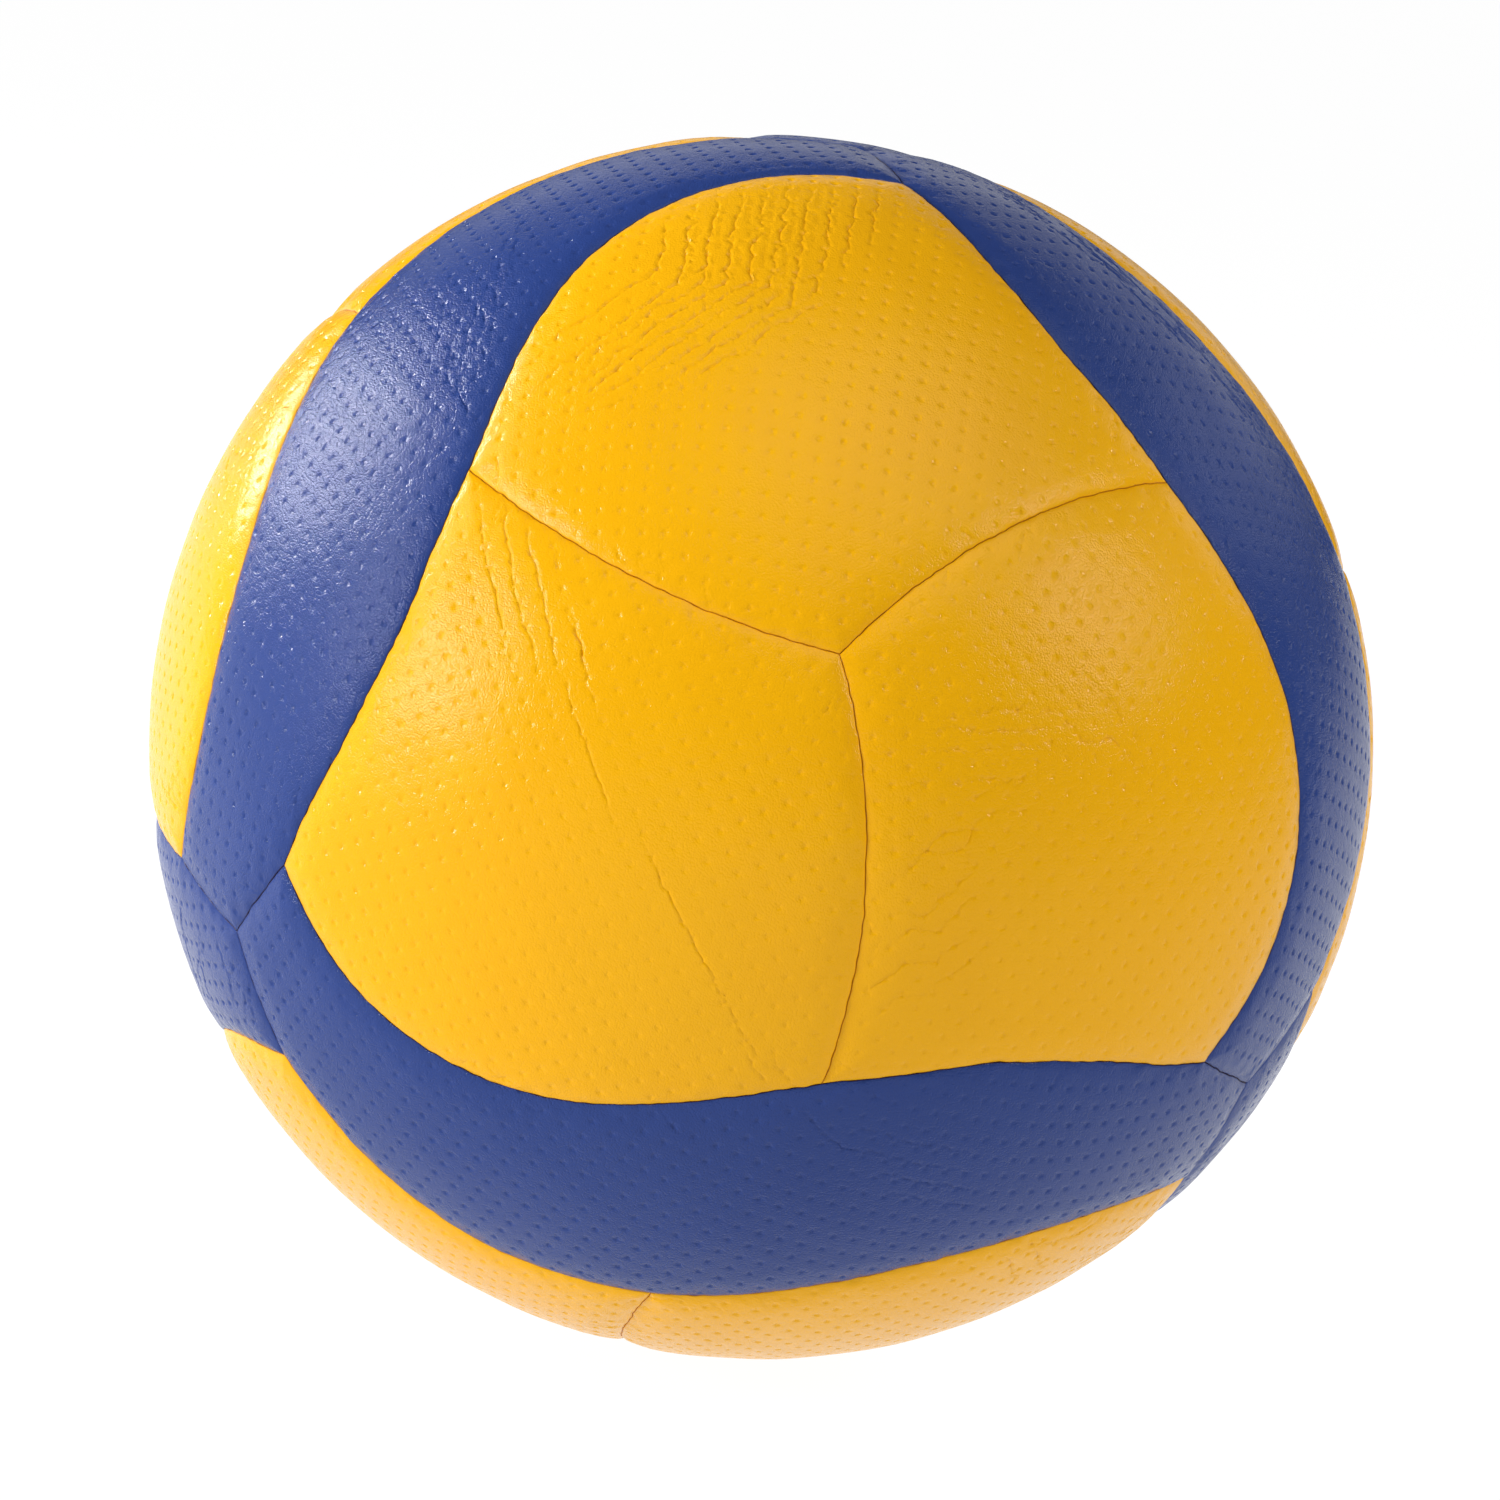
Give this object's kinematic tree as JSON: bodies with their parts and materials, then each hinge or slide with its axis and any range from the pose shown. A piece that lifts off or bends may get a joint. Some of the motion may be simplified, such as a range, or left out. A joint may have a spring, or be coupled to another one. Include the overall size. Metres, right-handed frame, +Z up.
{
  "type": "volleyball",
  "caption": "Inflatable indoor ball with glued yellow and blue cover panels over a wound air bladder and a valve.",
  "frame": {"origin": "centre of the ball", "axes": "+Z is up, through a point where three blue bands meet; -Y is the side with the middle of the front yellow field, at its right and left hands +X and -X"},
  "size_m": [0.2098, 0.2098, 0.21],
  "materials": {
    "yellow_cover": "yellow microfibre leather, satin, fine grain with small round dimples",
    "blue_cover": "blue microfibre leather, satin, fine grain with small round dimples",
    "foam": "soft foam with a cloth back",
    "carcass_rubber": "matt natural rubber",
    "nylon_thread": "wound nylon thread",
    "bladder_rubber": "smooth butyl rubber",
    "valve_rubber": "matt soft rubber"
  },
  "bodies": {
    "ball": {"panel_front_1": "yellow_cover", "panel_front_2": "yellow_cover", "panel_front_3": "yellow_cover", "panel_right_1": "yellow_cover", "panel_right_2": "yellow_cover", "panel_right_3": "yellow_cover", "panel_left_1": "yellow_cover", "panel_left_2": "yellow_cover", "panel_left_3": "yellow_cover", "panel_base_1": "yellow_cover", "panel_base_2": "yellow_cover", "panel_base_3": "yellow_cover", "panel_upper_left": "blue_cover", "panel_upper_right": "blue_cover", "panel_upper_back": "blue_cover", "panel_lower_front": "blue_cover", "panel_lower_right": "blue_cover", "panel_lower_left": "blue_cover", "pad_front_1": "foam", "pad_front_2": "foam", "pad_front_3": "foam", "pad_right_1": "foam", "pad_right_2": "foam", "pad_right_3": "foam", "pad_left_1": "foam", "pad_left_2": "foam", "pad_left_3": "foam", "pad_base_1": "foam", "pad_base_2": "foam", "pad_base_3": "foam", "pad_upper_left": "foam", "pad_upper_right": "foam", "pad_upper_back": "foam", "pad_lower_front": "foam", "pad_lower_right": "foam", "pad_lower_left": "foam", "carcass": "carcass_rubber", "thread_winding": "nylon_thread", "bladder": "bladder_rubber", "valve_seat": "valve_rubber"},
    "valve_core": {"valve_core": "valve_rubber"}
  },
  "joints": [
    {"name": "valve_core_pull", "type": "slide", "parent": "ball", "child": "valve_core", "axis": [0, 0.8165, 0.5774], "range_m": [0, 0.024]}
  ]
}
